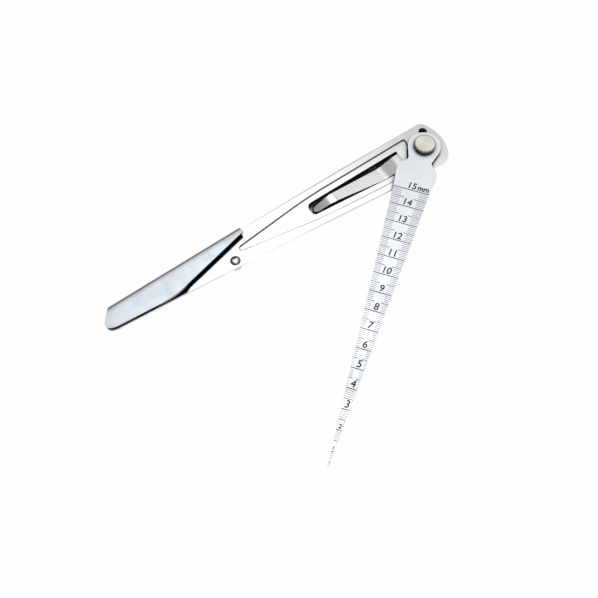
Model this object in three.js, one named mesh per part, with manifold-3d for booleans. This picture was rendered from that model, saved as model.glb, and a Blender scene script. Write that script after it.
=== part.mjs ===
// Folding pocket taper gauge, in millimetres, +Z up.
// The pivot axis stands at X 0, Y 0, and the flat back of the pivot bush lies at Z 0.
// The handle runs from the pivot towards -X, and the blade swings over its upper face.
import * as THREE from "three";
import { mergeVertices } from "three/addons/utils/BufferGeometryUtils.js";
import Module from "manifold-3d";

const wasm = await Module();
wasm.setup();

// Clearances and facets
const seatGap = 0.02; // between flat faces that bear on each other
const pressGap = 0.05; // round a piece that is pressed or riveted in
const runningGap = 0.1; // round a piece that turns
const overrun = 1; // how far a cut or a join runs past its work
const arcSteps = 10; // steps in each drawn curve of an outline
const roundSteps = 64; // sides of a turned piece

// Stack at the pivot, from the back upwards
const flangeThickness = 0.8;
const sheet = 0.8; // steel of the handle
const washerThickness = 0.5;
const bladeThickness = 1.0;
const springThickness = 0.25;
const springWave = 0.1; // rise of the wave above and below its middle
const headHeight = 1.5; // knurled head
const sheetBack = flangeThickness + seatGap;
const sheetFace = sheetBack + sheet;
const washerBack = sheetFace + seatGap;
const bladeBack = washerBack + washerThickness + seatGap;
const bladeFace = bladeBack + bladeThickness;
const springMiddle = bladeFace + seatGap + springWave + springThickness / 2;
const headBack = springMiddle + springThickness / 2 + springWave + seatGap;

// Turned pieces
const barrelRadius = 2.6; // bush, on which the blade turns
const flangeRadius = 4.0;
const boreRadius = 1.6;
const boreFloor = 0.5; // metal left behind the blind bore
const barrelSetback = 0.2; // barrel top below the blade's face, so that the head can clamp it
const washerShare = 0.65; // of the radius of the blade's head
const springShare = 0.595;
const headShare = 0.645;
const springWaves = 3;
const shankRadius = 1.5;
const shankTipGap = 0.3;
const turnedChamfer = 0.25;
const knurlTeeth = 42;
const knurlDepth = 0.22;
const knurlCrestShare = 0.4; // of a tooth's pitch
const faceRecess = 0.06; // dish turned into the head's face
const faceRecessShare = 0.86; // of the head's radius

// Blade: width grows by 1 for each taperRatio of length
const taperRatio = 8;
const lastReading = 15;
const scaleStart = 22.5; // pivot to the last reading's line
const tipWidth = 0.3;
const zeroPoint = scaleStart + taperRatio * lastReading; // pivot to where the wedge would end
const bladeHeadRadius = 6.9;
const neckHalf = 4.95;
const neckRun = 7.3; // pivot to the narrowest place of the neck
const neckFillet = 2.6; // run of the hollow between neck and shoulder
const shoulderHalf = 8.4;
const shoulderRun = 12.4;
const shoulderRound = 1.5;
const openAngle = 38.4; // from the handle's length to the blade at rest, in degrees
const washerRadius = washerShare * bladeHeadRadius;
const springRadius = springShare * bladeHeadRadius;
const headRadius = headShare * bladeHeadRadius; // of the knurled head

// Handle in plan, measured from the pivot
const headEnd = 9.6; // furthest place of the bowed end
const headEndRise = 1.0; // how high that place lies
const headEndRadius = 17.4;
const headUpper = 11.05;
const headUpperRound = 3.0;
const headLower = 10.8;
const headLowerRound = 7.5;
const edgeRoll = 0.2; // rounded rim of the pressed sheet
const rollSteps = 2;
const upperBend = 36; // where the upper edge starts to come down
const lowerBow = 0.55; // how far the lower edge is bowed upwards at its middle
const tailEnd = 148.8;
const heelRun = 4.8; // from the tail's end back to where the lower edge ends
const tailHeel = tailEnd - heelRun;
const tailLower = 0.5;
const tailShoulder = 144.1; // start of the slanted end, on the fold
const tailTurn = 147.6; // end of the slanted stretch
const tailTurnRise = 4.75;
const tailNoseRise = 2.3; // height towards which the slanted end curves
const tailBulge = 0.8; // how far the drawn nose reaches past the tail's end

// Tip guard, folded over from the upper edge
const guardClearance = 0.2; // over the folded blade
const guardUpper = 10.3; // outside of the fold at the pointed end
const guardTailUpper = 8.9; // and at the tail
const guardStart = 85; // pivot to the pointed end
const guardPoint = 7.45; // height of that point
const reliefWidth = 0.45; // notch beside the end of the fold
const reliefUpper = 10.05; // upper edge of the sheet at the notch
const foldLeg = 2.0; // flat of the sheet that carries the fold
const foldSteps = 12;
const cornerTail = 129; // the guard's lower corner starts to curve here
const cornerRun = 120.5; // curves towards this place
const cornerDrop = 1.45; // which lies below the lower edge
const cornerHead = 114; // and ends here
const cornerHeadRise = 2.4; // above the lower edge
const lipWidth = 0.8;
const lipRise = 0.5;
const lipSteps = 10;
const lipRootShare = 0.04; // of the lip's width, left at its ends
const guardGap = bladeFace - sheetFace + guardClearance;
const guardBack = sheetFace + guardGap;
const guardFace = guardBack + sheet;
const foldRadius = (guardFace - sheetBack) / 2;
const foldAxisZ = (guardFace + sheetBack) / 2;
const foldSlope = (guardUpper - guardTailUpper) / (tailShoulder - guardStart);

// Pressed panel
const panelDepth = 0.6;
const panelDraft = 0.4; // run of its sloping wall
const panelBulge = 0.3; // how far the back of the pressing spreads
const panelHeadUpperX = 3.6;
const panelHeadLowerX = 8.6;
const panelUpper = 8.45;
const panelLower = 6.9;
const panelCorner = 1.8;
const panelUpperBend = 54;
const panelUpperBendY = 7.7;
const panelLowerBend = 52;
const panelLowerBendY = 4.1;
const panelBendRun = 19; // length of each bend
const panelTip = 90.2;
const panelTipY = 2.7;
const panelTipRound = 1.3;
const panelTipUpperShare = 0.95;
const panelTipLowerShare = 0.85;

// Window and the pocket clip that is cut out of it
const windowHead = 10.4;
const windowTail = 56.5;
const windowHeadUpper = 5.55;
const windowHeadLower = 4.25;
const windowTailUpper = 4.95;
const windowTailLower = 0.85;
const windowCorner = 0.5;
const windowTailUpperRoundShare = 0.5; // of the window's height at its tail end
const windowTailLowerRoundShare = 0.3;
const clipSlot = 1.4; // slot on each side of the clip
const clipTipSlot = 1.75; // and beside its tip
const clipRoot = 12.5; // where the clip starts to bend
const clipLowBend = 20.8;
const clipHighBend = 46.0;
const clipTip = 54.4;
const clipLowDrop = 2.6; // below the panel, at the first bend
const clipHighRise = 0.3; // above the panel, at the second bend
const clipTipDrop = 2.3;
const clipBendRun = 2.2; // length of each rounded bend
const clipBendSteps = 4;
const clipNose = 1.6; // length of the rounded tip
const clipNoseSteps = 5;
const clipNoseShare = 0.3; // of the width, left at the very end

// Lanyard hole and catch rivet
const lanyardX = 4.75;
const lanyardY = 6.95;
const lanyardRadius = 1.8;
const catchRun = 3.45; // from the panel's tip to the rivet
const catchX = panelTip + catchRun;
const catchY = 0.7;
const catchRadius = 2.1;
const catchGap = 0.08; // between the dome and the blade that swings over it
const catchShank = 1.1;
const catchTail = 1.7; // radius of the upset end behind
const catchTailHeight = 0.4;
const domeSteps = 8;
const domeHeight = bladeBack - sheetFace - catchGap;

// A closed geometry as a solid: vertices are shared and empty triangles dropped.
function solid(geometry) {
  const bare = geometry.index ? geometry.toNonIndexed() : geometry.clone();
  bare.deleteAttribute("normal");
  bare.deleteAttribute("uv");
  const merged = mergeVertices(bare);
  const corners = merged.index.array;
  const kept = [];
  for (let i = 0; i < corners.length; i += 3) {
    const [a, b, c] = corners.slice(i, i + 3);
    if (a !== b && b !== c && c !== a) kept.push(a, b, c);
  }
  const vertProperties = merged.attributes.position.array;
  const triVerts = new Uint32Array(kept);
  return new wasm.Manifold(new wasm.Mesh({ numProp: 3, vertProperties, triVerts }));
}

// A solid as a geometry with flat facets.
function facets(body) {
  const { vertProperties, triVerts } = body.getMesh();
  const geometry = new THREE.BufferGeometry();
  geometry.setAttribute("position", new THREE.BufferAttribute(vertProperties, 3));
  geometry.setIndex(new THREE.BufferAttribute(triVerts, 1));
  const loose = geometry.toNonIndexed();
  loose.computeVertexNormals();
  return loose;
}

// A flat plate between two heights, with its rim rolled over by roll.
function plate(shape, low, high, roll = 0) {
  const geometry = new THREE.ExtrudeGeometry(shape, {
    depth: high - low - 2 * roll,
    bevelEnabled: roll > 0,
    bevelThickness: roll,
    bevelSize: roll,
    bevelOffset: -roll,
    bevelSegments: rollSteps,
    curveSegments: arcSteps,
  });
  return solid(geometry.translate(0, 0, low + roll));
}

function drill(x, y, radius, low, high) {
  const geometry = new THREE.CylinderGeometry(radius, radius, high - low, roundSteps);
  return solid(geometry.rotateX(Math.PI / 2).translate(x, y, (low + high) / 2));
}

// A turned piece: profile holds [radius, height] from the lower end of the axis round to the upper.
function turned(profile) {
  const points = profile.map(([radius, height]) => new THREE.Vector2(radius, height));
  return solid(new THREE.LatheGeometry(points, roundSteps).rotateX(Math.PI / 2));
}

// A skin through rings of equal length. The two ends are filled by caps, whose corners flatten
// turns into points of a plane that faces along the skin, or meet when there is no flatten.
function loft(rings, flatten) {
  const size = rings[0].length;
  const positions = rings.flat().flatMap((point) => point.toArray());
  const corners = [];
  for (let ring = 0; ring + 1 < rings.length; ring++) {
    for (let i = 0; i < size; i++) {
      const next = (i + 1) % size;
      const [a, b] = [ring * size + i, ring * size + next];
      corners.push(a, b, b + size, a, b + size, a + size);
    }
  }
  const cap = flatten ? THREE.ShapeUtils.triangulateShape(rings[0].map(flatten), []) : [];
  const last = (rings.length - 1) * size;
  for (const [a, b, c] of cap) corners.push(a, c, b, last + a, last + b, last + c);
  const geometry = new THREE.BufferGeometry();
  geometry.setAttribute("position", new THREE.Float32BufferAttribute(positions, 3));
  geometry.setIndex(corners);
  return solid(geometry);
}

// Moves each point of a counterclockwise outline inwards by depth.
function inset(outline, depth) {
  return outline.map((point, i) => {
    const before = outline[(i + outline.length - 1) % outline.length];
    const after = outline[(i + 1) % outline.length];
    const along = after.clone().sub(before).normalize();
    return new THREE.Vector2(point.x - along.y * depth, point.y + along.x * depth);
  });
}

function drafted(outline, low, high, lowInset, highInset) {
  const ring = (depth, z) => inset(outline, depth).map((p) => new THREE.Vector3(p.x, p.y, z));
  return loft([ring(lowInset, low), ring(highInset, high)], (p) => new THREE.Vector2(p.x, p.y));
}

// Points of a drawn outline, counterclockwise and without a repeated end.
function outlinePoints(shape) {
  const points = shape.getPoints(arcSteps);
  if (points[0].distanceTo(points[points.length - 1]) < seatGap) points.pop();
  if (THREE.ShapeUtils.isClockWise(points)) points.reverse();
  return points;
}

// Draws to a corner and round it, leaving and reaching its sides at run from the corner.
function corner(shape, from, at, to, run, first = false) {
  const [start, middle, end] = [from, at, to].map(([x, y]) => new THREE.Vector2(x, y));
  const enter = start.sub(middle).setLength(run).add(middle);
  const leave = end.sub(middle).setLength(run).add(middle);
  if (first) shape.moveTo(enter.x, enter.y);
  else shape.lineTo(enter.x, enter.y);
  shape.quadraticCurveTo(middle.x, middle.y, leave.x, leave.y);
}

// Height of the outside of the fold at a run from the pivot.
function foldLine(run) {
  return guardUpper - foldSlope * (run - guardStart);
}

// Run at which the head's lower round leaves the lower edge. That round also touches the bowed end.
function lowerStart() {
  const rise = headEndRise + headLower - headLowerRound;
  const across = Math.sqrt((headEndRadius - headLowerRound) ** 2 - rise ** 2);
  return headEndRadius - headEnd - across;
}

// Height of the lower edge at a run from the pivot.
function lowerEdge(run) {
  const share = (run - lowerStart()) / (tailHeel - lowerStart());
  const bow = 4 * lowerBow * share * (1 - share);
  return bow - THREE.MathUtils.lerp(headLower, tailLower, share);
}

// The end of the tail, from the slanted stretch round to the lower edge.
function drawTail(shape) {
  const nose = tailEnd + tailBulge;
  shape.lineTo(-tailTurn, tailTurnRise);
  shape.bezierCurveTo(-nose, tailNoseRise, -nose, lowerEdge(nose), -tailHeel, lowerEdge(tailHeel));
}

// Outline of the flat sheet. Along the guard it ends where the fold begins to rise.
function sheetOutline() {
  const shape = new THREE.Shape();
  const endX = headEnd - headEndRadius;
  const upperY = headUpper - headUpperRound;
  const upperLean = Math.asin((upperY - headEndRise) / (headEndRadius - headUpperRound));
  const upperX = endX + (headEndRadius - headUpperRound) * Math.cos(upperLean);
  const lowerY = headLowerRound - headLower;
  const lowerLean = Math.asin((lowerY - headEndRise) / (headEndRadius - headLowerRound));
  shape.absarc(-lowerStart(), lowerY, headLowerRound, -Math.PI / 2, lowerLean);
  shape.absarc(endX, headEndRise, headEndRadius, lowerLean, upperLean);
  shape.absarc(upperX, upperY, headUpperRound, upperLean, Math.PI / 2);
  const notch = guardStart - reliefWidth;
  shape.lineTo(-upperBend, headUpper);
  shape.lineTo(-notch, reliefUpper);
  shape.lineTo(-notch, foldLine(notch) - foldRadius);
  const endSlope = (guardTailUpper - tailTurnRise) / (tailTurn - tailShoulder);
  const seam = tailShoulder + foldRadius / (endSlope - foldSlope);
  shape.lineTo(-seam, foldLine(seam) - foldRadius);
  drawTail(shape);
  const middle = (tailHeel + lowerStart()) / 2;
  shape.quadraticCurveTo(-middle, lowerEdge(middle) + lowerBow, -lowerStart(), -headLower);
  return shape;
}

function panelOutline() {
  const shape = new THREE.Shape();
  const halfBend = panelBendRun / 2;
  const upperStart = [-panelHeadUpperX, panelUpper];
  const upperBendAt = [-panelUpperBend, panelUpperBendY];
  const lowerBendAt = [-panelLowerBend, -panelLowerBendY];
  const lowerCorner = [-panelHeadLowerX, -panelLower];
  const upperTip = [panelTipRound - panelTip, panelTipY + panelTipRound * panelTipUpperShare];
  const lowerTip = [panelTipRound - panelTip, panelTipY - panelTipRound * panelTipLowerShare];
  corner(shape, lowerCorner, upperStart, upperBendAt, panelCorner, true);
  corner(shape, upperStart, upperBendAt, upperTip, halfBend);
  shape.lineTo(...upperTip);
  shape.bezierCurveTo(
    -panelTip,
    panelTipY + panelTipRound / 2,
    -panelTip,
    panelTipY - panelTipRound / 2,
    ...lowerTip,
  );
  corner(shape, lowerTip, lowerBendAt, lowerCorner, halfBend);
  corner(shape, lowerBendAt, lowerCorner, upperStart, panelCorner);
  return shape;
}

function windowOutline() {
  const shape = new THREE.Shape();
  const corners = [
    [-windowHead, -windowHeadLower],
    [-windowHead, windowHeadUpper],
    [-windowTail, windowTailUpper],
    [-windowTail, -windowTailLower],
  ];
  const tailHeight = windowTailUpper + windowTailLower;
  const rounds = [
    windowCorner,
    windowCorner,
    tailHeight * windowTailUpperRoundShare,
    tailHeight * windowTailLowerRoundShare,
  ];
  corners.forEach((at, i) => {
    const from = corners[(i + corners.length - 1) % corners.length];
    const to = corners[(i + 1) % corners.length];
    corner(shape, from, at, to, rounds[i], i === 0);
  });
  shape.closePath();
  return shape;
}

// Centre and half width of the window at a run from the pivot.
function windowSpan(run) {
  const share = (run - windowHead) / (windowTail - windowHead);
  const upper = THREE.MathUtils.lerp(windowHeadUpper, windowTailUpper, share);
  const lower = -THREE.MathUtils.lerp(windowHeadLower, windowTailLower, share);
  return { middle: (upper + lower) / 2, half: (upper - lower) / 2 };
}

// Side view of the clip: straight stretches joined by rounded bends.
function clipLine() {
  const panelFace = sheetFace - panelDepth;
  const knots = [
    [windowHead - overrun, panelFace],
    [clipRoot, panelFace],
    [clipLowBend, panelFace - clipLowDrop],
    [clipHighBend, panelFace + clipHighRise],
    [clipTip, panelFace - clipTipDrop],
  ];
  const line = new THREE.Path();
  line.moveTo(...knots[0]);
  for (let i = 1; i + 1 < knots.length; i++) {
    corner(line, knots[i - 1], knots[i], knots[i + 1], clipBendRun);
  }
  const [endRun, endHeight] = knots[knots.length - 1];
  const [bendRun, bendHeight] = knots[knots.length - 2];
  const slope = (endHeight - bendHeight) / (endRun - bendRun);
  for (let i = clipNoseSteps; i >= 0; i--) {
    const back = clipNose * (1 - Math.cos(((i / clipNoseSteps) * Math.PI) / 2));
    line.lineTo(endRun - back, endHeight - back * slope);
  }
  return line.getPoints(clipBendSteps);
}

function pocketClip() {
  const rings = clipLine().map(({ x: run, y: height }) => {
    const { middle, half } = windowSpan(Math.max(run, windowHead));
    const past = THREE.MathUtils.clamp((run - clipTip + clipNose) / clipNose, 0, 1);
    const nose = Math.max(Math.sqrt(1 - past * past), clipNoseShare);
    const toTip = Math.max(run, clipHighBend);
    const slot = THREE.MathUtils.mapLinear(toTip, clipHighBend, clipTip, clipSlot, clipTipSlot);
    const reach = (half - slot) * nose;
    return [
      new THREE.Vector3(-run, middle - reach, height - sheet),
      new THREE.Vector3(-run, middle - reach, height),
      new THREE.Vector3(-run, middle + reach, height),
      new THREE.Vector3(-run, middle + reach, height - sheet),
    ];
  });
  return loft(rings, (p) => new THREE.Vector2(p.z, p.y));
}

// The guard's lower corner, from its tail side to its head side.
function guardCorner() {
  return new THREE.QuadraticBezierCurve(
    new THREE.Vector2(-cornerTail, lowerEdge(cornerTail)),
    new THREE.Vector2(-cornerRun, lowerEdge(cornerRun) - cornerDrop),
    new THREE.Vector2(-cornerHead, lowerEdge(cornerHead) + cornerHeadRise),
  );
}

function guardOutline() {
  const shape = new THREE.Shape();
  const { v0, v1, v2 } = guardCorner();
  shape.moveTo(-tailShoulder, guardUpper + overrun);
  shape.lineTo(-tailShoulder, guardTailUpper);
  drawTail(shape);
  shape.lineTo(v0.x, v0.y);
  shape.quadraticCurveTo(v1.x, v1.y, v2.x, v2.y);
  shape.lineTo(-guardStart, guardPoint);
  shape.lineTo(-guardStart, guardUpper + overrun);
  return shape;
}

// The sheet turned back over itself, as a long channel whose outside lies on the fold line.
function foldedChannel() {
  const shape = new THREE.Shape();
  const quarter = Math.PI / 2;
  const reach = guardUpper + headLower;
  shape.moveTo(-foldRadius - foldLeg, sheetBack);
  shape.absarc(-foldRadius, foldAxisZ, foldRadius, -quarter, quarter);
  shape.lineTo(-reach, guardFace);
  shape.lineTo(-reach, guardBack);
  shape.absarc(-foldRadius, foldAxisZ, foldRadius - sheet, quarter, -quarter, true);
  shape.lineTo(-foldRadius - foldLeg, sheetFace);
  const length = tailEnd - guardStart + 2 * overrun;
  const options = { depth: length, bevelEnabled: false, curveSegments: foldSteps };
  const geometry = new THREE.ExtrudeGeometry(shape, options);
  const [x, y, z] = [new THREE.Vector3(1, 0, 0), new THREE.Vector3(0, 1, 0), new THREE.Vector3(0, 0, 1)];
  geometry.applyMatrix4(new THREE.Matrix4().makeBasis(y, z, x));
  geometry.translate(overrun - length, 0, 0).rotateZ(Math.atan(foldSlope));
  return solid(geometry.translate(-guardStart, guardUpper, 0));
}

// A strip along the guard's corner, whose outer side is raised by rise at its middle.
function cornerStrip(inner, outer, low, high, rise) {
  const curve = guardCorner();
  const rings = [];
  for (let i = 0; i <= lipSteps; i++) {
    const share = i / lipSteps;
    const swell = Math.max(Math.sin(Math.PI * share), lipRootShare);
    const at = curve.getPoint(share);
    const along = curve.getTangent(share);
    const inside = new THREE.Vector2(-along.y, along.x);
    const near = at.clone().addScaledVector(inside, lipWidth * swell + inner);
    const far = at.clone().addScaledVector(inside, -outer);
    const lift = rise * swell;
    rings.push([
      new THREE.Vector3(near.x, near.y, low),
      new THREE.Vector3(near.x, near.y, high),
      new THREE.Vector3(far.x, far.y, high + lift),
      new THREE.Vector3(far.x, far.y, low + lift),
    ]);
  }
  return loft(rings, (p) => new THREE.Vector2(p.y, p.z));
}

// The guard, with the flared lip along its lower corner in place of the flat skin there.
function tipGuard() {
  const cover = plate(guardOutline(), sheetBack - overrun, guardFace, edgeRoll / 2);
  const gap = cornerStrip(0, overrun, foldAxisZ, guardFace + overrun, 0);
  const lip = cornerStrip(seatGap, 0, guardBack, guardFace, lipRise);
  return foldedChannel().intersect(cover).subtract(gap).add(lip);
}

// The whole pressed sheet: panel, window, clip, holes and guard.
function handle() {
  const panel = outlinePoints(panelOutline());
  const panelBack = sheetBack - panelDepth;
  const bulge = drafted(panel, panelBack, sheetBack + seatGap, panelDraft - panelBulge, -panelBulge);
  const recess = drafted(panel, sheetFace - panelDepth, sheetFace, panelDraft, 0);
  const mouth = drafted(panel, sheetFace, sheetFace + overrun, 0, 0);
  const low = panelBack - overrun;
  const high = sheetFace + overrun;
  return plate(sheetOutline(), sheetBack, sheetFace, edgeRoll)
    .add(bulge)
    .subtract(recess)
    .subtract(mouth)
    .subtract(plate(windowOutline(), low, high))
    .add(pocketClip())
    .subtract(drill(0, 0, barrelRadius + pressGap, low, high))
    .subtract(drill(lanyardX, lanyardY, lanyardRadius, low, high))
    .subtract(drill(-catchX, -catchY, catchShank + pressGap, low, high))
    .add(tipGuard());
}

function bladeHalfWidth(run) {
  return (zeroPoint - run) / (2 * taperRatio);
}

// One side of the blade, from the neck to the tip.
function bladeSide() {
  const side = new THREE.Path();
  const neckEnd = neckRun + neckFillet;
  const neckEndHalf = THREE.MathUtils.lerp(neckHalf, shoulderHalf, neckFillet / (shoulderRun - neckRun));
  side.moveTo(neckRun, neckHalf);
  side.quadraticCurveTo(neckRun + neckFillet / 2, neckHalf, neckEnd, neckEndHalf);
  side.lineTo(shoulderRun - shoulderRound, shoulderHalf - shoulderRound / 2);
  side.quadraticCurveTo(shoulderRun, shoulderHalf, shoulderRun + shoulderRound, shoulderHalf);
  side.lineTo(scaleStart, bladeHalfWidth(scaleStart));
  side.lineTo(zeroPoint - tipWidth * taperRatio, tipWidth / 2);
  return side.getPoints(arcSteps);
}

// The wedge with its round head, lying along +X from the pivot.
function gaugeBlade() {
  const leave =
    Math.atan2(neckHalf, neckRun) + Math.acos(bladeHeadRadius / Math.hypot(neckRun, neckHalf));
  const shape = new THREE.Shape();
  shape.absarc(0, 0, bladeHeadRadius, leave, 2 * Math.PI - leave);
  bladeSide().forEach(({ x, y }) => shape.lineTo(x, -y));
  bladeSide().reverse().forEach(({ x, y }) => shape.lineTo(x, y));
  const hole = drill(0, 0, barrelRadius + runningGap, bladeBack - overrun, bladeFace + overrun);
  return plate(shape, bladeBack, bladeFace).subtract(hole);
}

function knurledOutline() {
  const points = [];
  const pitch = (2 * Math.PI) / knurlTeeth;
  for (let tooth = 0; tooth < knurlTeeth; tooth++) {
    const places = [
      [headRadius, tooth - knurlCrestShare / 2],
      [headRadius, tooth + knurlCrestShare / 2],
      [headRadius - knurlDepth, tooth + 1 / 2],
    ];
    for (const [radius, at] of places) {
      points.push(new THREE.Vector2(radius * Math.cos(at * pitch), radius * Math.sin(at * pitch)));
    }
  }
  return new THREE.Shape(points);
}

function thumbScrew() {
  const top = headBack + headHeight;
  const dish = headRadius * faceRecessShare;
  const tip = boreFloor + shankTipGap;
  const blank = turned([
    [0, headBack],
    [headRadius - turnedChamfer, headBack],
    [headRadius + turnedChamfer, headBack + 2 * turnedChamfer],
    [headRadius + turnedChamfer, top - 2 * turnedChamfer],
    [headRadius - turnedChamfer, top],
    [dish, top],
    [dish - faceRecess, top - faceRecess],
    [0, top - faceRecess],
  ]);
  const shank = turned([
    [0, tip],
    [shankRadius - turnedChamfer, tip],
    [shankRadius, tip + turnedChamfer],
    [shankRadius, headBack + headHeight / 2],
    [0, headBack + headHeight / 2],
  ]);
  return plate(knurledOutline(), headBack, top).intersect(blank).add(shank);
}

// A ring that rises and falls springWaves times on its way round.
function springWasher() {
  const rings = [];
  const inner = shankRadius + runningGap;
  for (let i = 0; i <= roundSteps; i++) {
    const turn = (2 * Math.PI * (i % roundSteps)) / roundSteps;
    const middle = springMiddle + springWave * Math.sin(springWaves * turn);
    const low = middle - springThickness / 2;
    const high = middle + springThickness / 2;
    const places = [[inner, low], [inner, high], [springRadius, high], [springRadius, low]];
    rings.push(
      places.map(([radius, z]) => new THREE.Vector3(radius * Math.cos(turn), radius * Math.sin(turn), z)),
    );
  }
  return loft(rings);
}

function frictionWasher() {
  const inner = barrelRadius + runningGap;
  const top = washerBack + washerThickness;
  return turned([
    [inner, washerBack],
    [washerRadius, washerBack],
    [washerRadius, top],
    [inner, top],
    [inner, washerBack],
  ]);
}

function pivotBush() {
  const top = bladeFace - barrelSetback;
  return turned([
    [0, 0],
    [flangeRadius - turnedChamfer, 0],
    [flangeRadius, turnedChamfer],
    [flangeRadius, flangeThickness],
    [barrelRadius, flangeThickness],
    [barrelRadius, top],
    [boreRadius, top],
    [boreRadius, boreFloor],
    [0, boreFloor],
  ]);
}

// The dome above the sheet, its shank through it and the upset end behind.
function catchRivet() {
  const base = sheetFace + seatGap;
  const behind = sheetBack - seatGap;
  const end = behind - catchTailHeight;
  const profile = [
    [0, end],
    [catchTail - catchTailHeight / 2, end],
    [catchTail, end + catchTailHeight / 2],
    [catchTail, behind],
    [catchShank, behind],
    [catchShank, base],
  ];
  const rise = domeHeight - seatGap;
  const ball = (catchRadius ** 2 + rise ** 2) / (2 * rise);
  const reach = Math.asin(catchRadius / ball);
  for (let i = 0; i <= domeSteps; i++) {
    const angle = reach * (1 - i / domeSteps);
    profile.push([ball * Math.sin(angle), base + rise - ball * (1 - Math.cos(angle))]);
  }
  return turned(profile).translate(-catchX, -catchY, 0);
}

function piece(name, body, color, roughness) {
  const material = new THREE.MeshStandardMaterial({ color, roughness, metalness: 1 });
  const mesh = new THREE.Mesh(facets(body), material);
  mesh.name = name;
  return mesh;
}

const gauge = new THREE.Group();
const blade = piece("gauge_blade", gaugeBlade(), "#dfe4ea", 0.35);
blade.rotation.z = Math.PI + THREE.MathUtils.degToRad(openAngle);
gauge.add(
  piece("handle", handle(), "#e8eaec", 0.28),
  piece("pivot_bush", pivotBush(), "#b9b9b4", 0.35),
  piece("friction_washer", frictionWasher(), "#9c9c9a", 0.4),
  piece("catch_rivet", catchRivet(), "#e6e6e6", 0.08),
  blade,
  piece("spring_washer", springWasher(), "#8d8f90", 0.4),
  piece("thumb_screw", thumbScrew(), "#cfcdc4", 0.3),
);

export default gauge;
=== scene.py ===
"""A folding pocket taper gauge, dressed around its CAD frame and lit on a pale studio floor.

Each piece of the gauge has an operator of its own, listed in a panel of the 3D view's sidebar.
Lengths are in metres, in the frame of the CAD part: the pivot axis stands at X 0, Y 0.
"""
import math

import bmesh
import bpy
from bpy.props import FloatProperty, FloatVectorProperty, IntProperty, PointerProperty
from mathutils import Matrix, Quaternion, Vector
from mathutils.geometry import intersect_point_line


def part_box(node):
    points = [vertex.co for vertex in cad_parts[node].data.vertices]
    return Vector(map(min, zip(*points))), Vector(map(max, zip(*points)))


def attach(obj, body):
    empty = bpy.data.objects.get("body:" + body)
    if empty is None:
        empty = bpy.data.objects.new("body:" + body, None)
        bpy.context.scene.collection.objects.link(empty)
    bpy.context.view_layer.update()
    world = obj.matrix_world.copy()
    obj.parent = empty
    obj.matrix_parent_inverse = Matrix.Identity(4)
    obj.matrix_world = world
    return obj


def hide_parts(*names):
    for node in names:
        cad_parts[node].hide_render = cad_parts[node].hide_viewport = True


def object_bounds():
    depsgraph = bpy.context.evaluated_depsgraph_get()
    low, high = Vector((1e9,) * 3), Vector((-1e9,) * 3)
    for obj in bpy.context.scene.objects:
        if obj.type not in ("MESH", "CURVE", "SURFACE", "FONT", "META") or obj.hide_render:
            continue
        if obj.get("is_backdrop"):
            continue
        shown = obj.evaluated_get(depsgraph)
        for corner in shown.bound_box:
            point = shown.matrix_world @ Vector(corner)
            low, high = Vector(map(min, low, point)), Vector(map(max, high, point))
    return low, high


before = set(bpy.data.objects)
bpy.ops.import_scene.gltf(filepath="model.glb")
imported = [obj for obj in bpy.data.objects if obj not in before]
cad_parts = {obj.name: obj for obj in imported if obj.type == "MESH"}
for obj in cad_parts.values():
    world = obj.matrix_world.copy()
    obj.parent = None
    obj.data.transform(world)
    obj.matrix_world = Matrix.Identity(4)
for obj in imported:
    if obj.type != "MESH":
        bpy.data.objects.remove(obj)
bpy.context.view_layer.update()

bl_info = {
    "name": "Folding taper gauge",
    "version": (1, 0, 0),
    "blender": (4, 5, 0),
    "location": "View3D > Sidebar > Taper gauge",
    "description": "Models and finishes a folding pocket taper gauge around its CAD frame",
    "category": "Object",
}

MM = 0.001
MERGE = 1e-6  # points closer than this are one point
TOUCH = 2e-5  # how near a point lies to a plane that it belongs to
LEVEL = 0.9995  # upward share of a normal from which a face counts as level
LOOKS_UP = 0.85  # share from which it still looks up
UPRIGHT = 0.3  # share under which it counts as upright
BENT = 0.02  # lengthwise share of a normal from which the sheet counts as bent
WALL_TURN = (50, 62)  # least and greatest turn of the sheet at the panel's wall, in degrees
PER_TOOTH = 4  # points drawn for each tooth of the knurl
GRAIN_DEPTH = 0.02 * MM  # height of a finish's grain at full strength
WORN = 1.12  # tone of rubbed edges against the metal's own
MARK_ROUGH = (0.45, 0.6)  # least and greatest roughness of the marks

# Brightness over a slope of the studio: where it changes, then its share before and after
CORNER_DIM = (0.88, 1.08, 1.0, 0.51)
CORNER_RISE = (1.125, 1.25, 0.0, 0.38)
LEFT_DIM = (-0.28, -0.04, 0.25, 1.0)
BACK_DIM = (0.62, 0.95, 1.0, 0.5)
FRONT_DIM = (-0.2, 0.1, 0.85, 1.0)
FAR_LEFT_RISE = (-1.2, -0.7, 0.35, 0.0)
HORIZON = 0.05  # height in the studio under which the slopes no longer grow


def length(name, description, default):
    """A size in metres for a property group."""
    return FloatProperty(
        name=name, description=description, default=default, unit="LENGTH", subtype="DISTANCE"
    )


def spot(name, description, default):
    """A place in metres for a property group, with or without a height."""
    return FloatVectorProperty(
        name=name, description=description, default=default, size=len(default),
        unit="LENGTH", subtype="XYZ",
    )


def count(name, description, default):
    """A whole number for a property group."""
    return IntProperty(name=name, description=description, default=default, min=1)


def share(name, description, default):
    """A number from 0 to 1 for a property group."""
    return FloatProperty(
        name=name, description=description, default=default, min=0, max=1, subtype="FACTOR"
    )


def colour(name, description, default):
    """A linear colour for a property group."""
    return FloatVectorProperty(
        name=name, description=description, default=default, min=0, max=1, subtype="COLOR"
    )


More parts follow.
